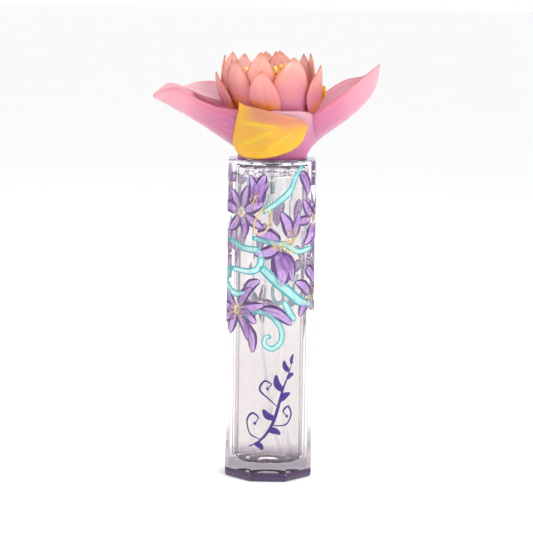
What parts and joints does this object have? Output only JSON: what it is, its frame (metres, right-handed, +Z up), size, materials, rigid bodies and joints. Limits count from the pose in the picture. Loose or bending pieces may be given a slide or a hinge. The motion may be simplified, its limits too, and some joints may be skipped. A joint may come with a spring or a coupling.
{
  "type": "perfume bottle",
  "caption": "Tall octagonal glass perfume bottle on a tinted foot, with a crimped spray pump and a pull-off cap shaped as a water lily of overlapping petals.",
  "frame": {"origin": "centre of the foot's flat underside", "axes": "+Z up along the bottle; -Y out of the front facet; +X to the right of the front"},
  "size_m": [0.1078, 0.0713, 0.2062],
  "materials": {
    "clear_glass": "polished flint glass with fired enamel decoration",
    "violet_glass": "polished, deep violet tint",
    "natural_plastic": "natural polyethylene",
    "white_plastic": "moulded polypropylene",
    "seal_rubber": "matte elastomer",
    "aluminium": "drawn, bright",
    "gold_aluminium": "gold anodised aluminium",
    "spring_steel": "drawn stainless wire",
    "rose_resin": "frosted translucent acrylic",
    "coral_resin": "frosted translucent acrylic, orange at the rims",
    "amber_resin": "translucent acrylic"
  },
  "bodies": {
    "bottle": {"glass_bottle": "clear_glass", "tinted_foot": "violet_glass", "neck_gasket": "seal_rubber", "pump_housing": "natural_plastic", "stem_guide": "white_plastic", "stem_seal": "seal_rubber", "dip_tube": "natural_plastic", "ferrule": "aluminium", "return_spring": "spring_steel"},
    "check_ball": {"check_ball": "spring_steel"},
    "piston": {"piston": "natural_plastic"},
    "stem": {"stem": "white_plastic"},
    "actuator": {"actuator_core": "white_plastic", "actuator_shell": "gold_aluminium", "spray_insert": "white_plastic"},
    "collar": {"collar_liner": "white_plastic", "collar_shell": "gold_aluminium"},
    "cap": {"cap_insert": "white_plastic", "flower_hub": "rose_resin", "stamen_cluster": "amber_resin", "crown_outer_1": "coral_resin", "crown_outer_2": "coral_resin", "crown_outer_3": "coral_resin", "crown_outer_4": "coral_resin", "crown_outer_5": "coral_resin", "crown_middle_1": "coral_resin", "crown_middle_2": "coral_resin", "crown_middle_3": "coral_resin", "crown_middle_4": "coral_resin", "crown_middle_5": "coral_resin", "crown_inner_1": "coral_resin", "crown_inner_2": "coral_resin", "crown_inner_3": "coral_resin", "crown_inner_4": "coral_resin", "crown_inner_5": "coral_resin", "crown_inner_6": "coral_resin", "leaf_right": "rose_resin", "leaf_left_front": "rose_resin", "leaf_left_back": "rose_resin", "leaf_back": "rose_resin", "leaf_front": "rose_resin", "gold_front": "amber_resin", "gold_back": "amber_resin"}
  },
  "joints": [
    {"name": "collar_turn", "type": "hinge", "parent": "bottle", "child": "collar", "pos_m": [0, 0, 0.1554], "axis": [0, 0, 1], "continuous": true},
    {"name": "cap_pull", "type": "slide", "parent": "collar", "child": "cap", "axis": [0, 0, 1], "range_m": [0, 0.045]},
    {"name": "stem_press", "type": "slide", "parent": "bottle", "child": "stem", "axis": [0, 0, -1], "range_m": [0, 0.004], "stiffness_N_per_m": 900, "springref_m": -0.002, "deforming": ["return_spring"]},
    {"name": "piston_slide", "type": "slide", "parent": "bottle", "child": "piston", "axis": [0, 0, -1], "range_m": [0, 0.004]},
    {"name": "ball_lift", "type": "slide", "parent": "bottle", "child": "check_ball", "axis": [0, 0, 1], "range_m": [0, 0.0005]},
    {"name": "actuator_turn", "type": "hinge", "parent": "stem", "child": "actuator", "pos_m": [0, 0, 0.1709], "axis": [0, 0, 1], "continuous": true}
  ],
  "couplings": [
    {"joint": "piston_slide", "follows": "stem_press", "ratio": 0.8875}
  ]
}
